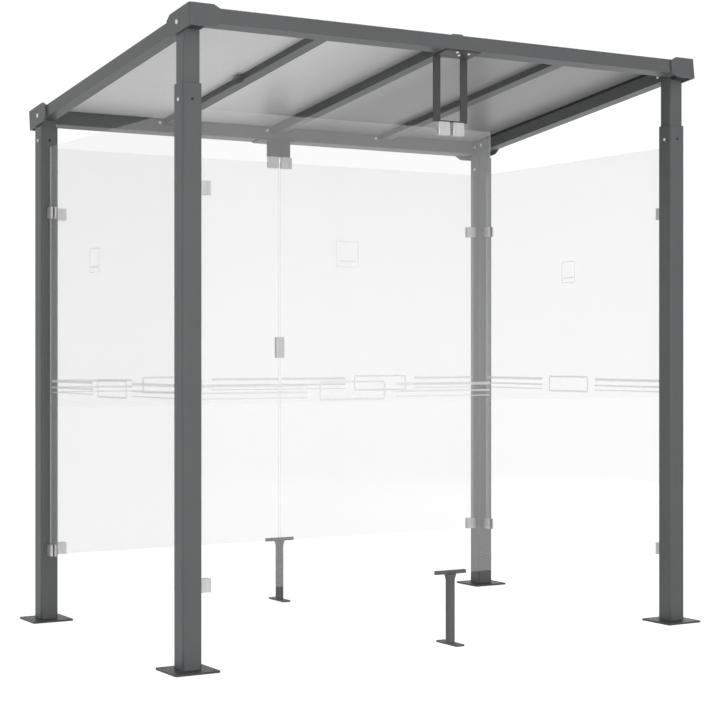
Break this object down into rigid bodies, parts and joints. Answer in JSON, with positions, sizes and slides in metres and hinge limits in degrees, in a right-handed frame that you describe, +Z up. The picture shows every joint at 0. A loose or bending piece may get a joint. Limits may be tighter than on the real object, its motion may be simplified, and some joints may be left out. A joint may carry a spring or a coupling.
{
  "type": "smoking shelter",
  "caption": "Open-fronted smoking shelter: grey steel post frame, sloping translucent roof and clear glass screens held by small clamps.",
  "frame": {"origin": "on the floor, at the centre of the shelter's overall box", "axes": "+Z up, +X to the right seen from the open front, +Y to the rear"},
  "size_m": [2.545, 1.692, 2.4838],
  "materials": {
    "grey_paint": "satin",
    "satin_steel": "satin",
    "clear_glass": "gloss",
    "roof_sheet": "satin",
    "seal_rubber": "matte"
  },
  "bodies": {
    "root": {"post_front_left": "grey_paint", "post_front_right": "grey_paint", "post_rear_left": "grey_paint", "post_rear_right": "grey_paint", "base_plate_front_left": "grey_paint", "base_plate_front_right": "grey_paint", "base_plate_rear_left": "grey_paint", "base_plate_rear_right": "grey_paint", "upper_tube_front_left": "grey_paint", "upper_tube_front_right": "grey_paint", "upper_tube_rear_left": "grey_paint", "upper_tube_rear_right": "grey_paint", "front_beam": "grey_paint", "rear_beam": "grey_paint", "left_beam": "grey_paint", "right_beam": "grey_paint", "rafter_left": "grey_paint", "rafter_middle": "grey_paint", "rafter_right": "grey_paint", "corner_cap_front_left": "grey_paint", "corner_cap_front_right": "grey_paint", "corner_cap_rear_left": "grey_paint", "corner_cap_rear_right": "grey_paint", "sheet_rests": "grey_paint", "side_seals": "seal_rubber", "roof_sheet_left": "roof_sheet", "roof_sheet_right": "roof_sheet", "sheet_joint_strip": "grey_paint", "front_glass": "clear_glass", "rear_glass_left": "clear_glass", "rear_glass_right": "clear_glass", "left_glass": "clear_glass", "right_glass": "clear_glass", "clamps_front": "satin_steel", "clamps_left": "satin_steel", "clamps_right": "satin_steel", "clamps_rear_left": "satin_steel", "clamps_rear_right": "satin_steel", "rear_connector": "satin_steel", "front_bracket": "grey_paint", "rear_bracket": "grey_paint", "front_foot": "grey_paint", "rear_foot": "grey_paint"}
  },
  "joints": []
}
